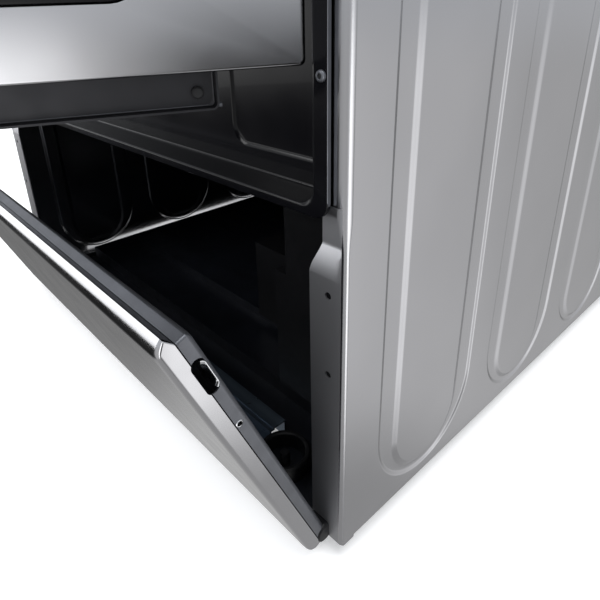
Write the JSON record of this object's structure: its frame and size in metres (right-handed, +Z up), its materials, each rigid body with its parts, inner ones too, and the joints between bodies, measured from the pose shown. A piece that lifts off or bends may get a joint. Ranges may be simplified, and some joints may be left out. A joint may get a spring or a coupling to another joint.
{
  "type": "clothes dryer",
  "caption": "Front-loading clothes dryer with ribbed sides, a windowed door on right-hand hinges and a tilt-out lower access panel, both open.",
  "frame": {"origin": "centre of the sole of the front right levelling foot, on the floor", "axes": "+X to the right seen from the front, +Y to the back, +Z up"},
  "size_m": [0.686, 1.3174, 0.985],
  "materials": {
    "side_paint": "satin metallic graphite paint",
    "gloss_front": "high gloss black",
    "silver_skin": "satin silver steel",
    "galvanised": "dull galvanised steel",
    "dark_steel": "dark satin paint",
    "aluminium_cast": "painted casting",
    "black_plastic": "fine matte grain",
    "grey_plastic": "satin",
    "rubber": "matte",
    "felt": "pressed felt",
    "bright_steel": "bright zinc plate",
    "dark_glass": "tinted"
  },
  "bodies": {
    "cabinet": {"side_panel_right": "side_paint", "side_panel_left": "side_paint", "rear_panel": "galvanised", "top_panel": "side_paint", "base_pan": "dark_steel", "front_channel": "dark_steel", "front_panel": "gloss_front", "foot_socket_right": "black_plastic", "foot_socket_left": "black_plastic", "foot_front_right": "black_plastic", "foot_front_left": "black_plastic", "foot_rear_right": "black_plastic", "foot_rear_left": "black_plastic", "toe_hinge_right": "black_plastic", "toe_hinge_left": "black_plastic", "front_panel_screw": "bright_steel", "control_fascia": "gloss_front", "display_lens": "dark_glass", "door_hinge_lower": "dark_steel", "door_hinge_upper": "dark_steel", "door_catch": "black_plastic", "door_switch": "black_plastic", "front_bulkhead": "galvanised", "rear_bulkhead": "galvanised", "drum_front_seal": "felt", "drum_lamp": "dark_glass", "motor_housing": "aluminium_cast", "blower_housing": "black_plastic", "lint_duct": "black_plastic", "exhaust_pipe": "galvanised", "drive_belt": "rubber", "heater_box": "galvanised", "heater_element": "dark_steel", "terminal_block": "black_plastic", "terminal_cover": "galvanised"},
    "door": {"door_skin": "silver_skin", "window_trim": "gloss_front", "window_glass": "dark_glass", "door_inner": "dark_steel", "door_gasket": "rubber", "door_strike": "bright_steel", "door_hinge_rail": "galvanised"},
    "toe_panel": {"toe_panel_skin": "silver_skin", "toe_panel_inner": "dark_steel", "toe_panel_clip": "bright_steel"},
    "drum": {"drum_shell": "galvanised", "drum_baffle_1": "grey_plastic", "drum_baffle_2": "grey_plastic", "drum_baffle_3": "grey_plastic"},
    "rotor": {"motor_rotor": "bright_steel", "blower_wheel": "black_plastic"},
    "idler_arm": {"idler_arm": "galvanised"},
    "idler_pulley": {"idler_pulley": "black_plastic"},
    "roller_right": {"drum_roller_right": "rubber"},
    "roller_left": {"drum_roller_left": "rubber"},
    "knob": {"cycle_knob": "silver_skin"},
    "power_button": {"power_button": "grey_plastic"},
    "start_button": {"start_button": "grey_plastic"},
    "option_button": {"option_button": "grey_plastic"},
    "lint_filter": {"lint_filter": "grey_plastic"}
  },
  "joints": [
    {"name": "door_hinge", "type": "hinge", "parent": "cabinet", "child": "door", "pos_m": [0.04725, -0.014, 0.618], "axis": [0, 0, 1], "range_deg": [-66, 28]},
    {"name": "toe_panel_hinge", "type": "hinge", "parent": "cabinet", "child": "toe_panel", "pos_m": [-0.251, -0.026, 0.021], "axis": [1, 0, 0], "range_deg": [-23, 0]},
    {"name": "drum_spin", "type": "hinge", "parent": "cabinet", "child": "drum", "pos_m": [-0.251, 0.378, 0.618], "axis": [0, 1, 0], "continuous": true},
    {"name": "rotor_spin", "type": "hinge", "parent": "cabinet", "child": "rotor", "pos_m": [-0.006, 0.278, 0.125], "axis": [0, 1, 0], "continuous": true},
    {"name": "idler_arm_pivot", "type": "hinge", "parent": "cabinet", "child": "idler_arm", "pos_m": [-0.0815, 0.398, 0.132], "axis": [0, 1, 0], "range_deg": [-8, 0], "stiffness_Nm_per_rad": 1, "springref_deg": 20.05},
    {"name": "idler_pulley_spin", "type": "hinge", "parent": "idler_arm", "child": "idler_pulley", "pos_m": [-0.19631, 0.392, 0.20317], "axis": [0, 1, 0], "continuous": true},
    {"name": "roller_right_spin", "type": "hinge", "parent": "cabinet", "child": "roller_right", "pos_m": [-0.07348, 0.644, 0.3339], "axis": [0, 1, 0], "continuous": true},
    {"name": "roller_left_spin", "type": "hinge", "parent": "cabinet", "child": "roller_left", "pos_m": [-0.42852, 0.644, 0.3339], "axis": [0, 1, 0], "continuous": true},
    {"name": "knob_turn", "type": "hinge", "parent": "cabinet", "child": "knob", "pos_m": [-0.251, -0.052, 0.917], "axis": [0, 1, 0], "continuous": true},
    {"name": "power_press", "type": "slide", "parent": "cabinet", "child": "power_button", "axis": [0, 1, 0], "range_m": [0, 0.002], "stiffness_N_per_m": 500, "springref_m": -0.002},
    {"name": "start_press", "type": "slide", "parent": "cabinet", "child": "start_button", "axis": [0, 1, 0], "range_m": [0, 0.002], "stiffness_N_per_m": 500, "springref_m": -0.002},
    {"name": "option_press", "type": "slide", "parent": "cabinet", "child": "option_button", "axis": [0, 1, 0], "range_m": [0, 0.002], "stiffness_N_per_m": 500, "springref_m": -0.002},
    {"name": "lint_filter_lift", "type": "slide", "parent": "cabinet", "child": "lint_filter", "axis": [0, 0, 1], "range_m": [0, 0.1]}
  ],
  "couplings": [
    {"joint": "rotor_spin", "follows": "drum_spin", "ratio": 26.287},
    {"joint": "idler_pulley_spin", "follows": "drum_spin", "ratio": -14.06},
    {"joint": "roller_right_spin", "follows": "drum_spin", "ratio": -8.671},
    {"joint": "roller_left_spin", "follows": "drum_spin", "ratio": -8.671}
  ]
}
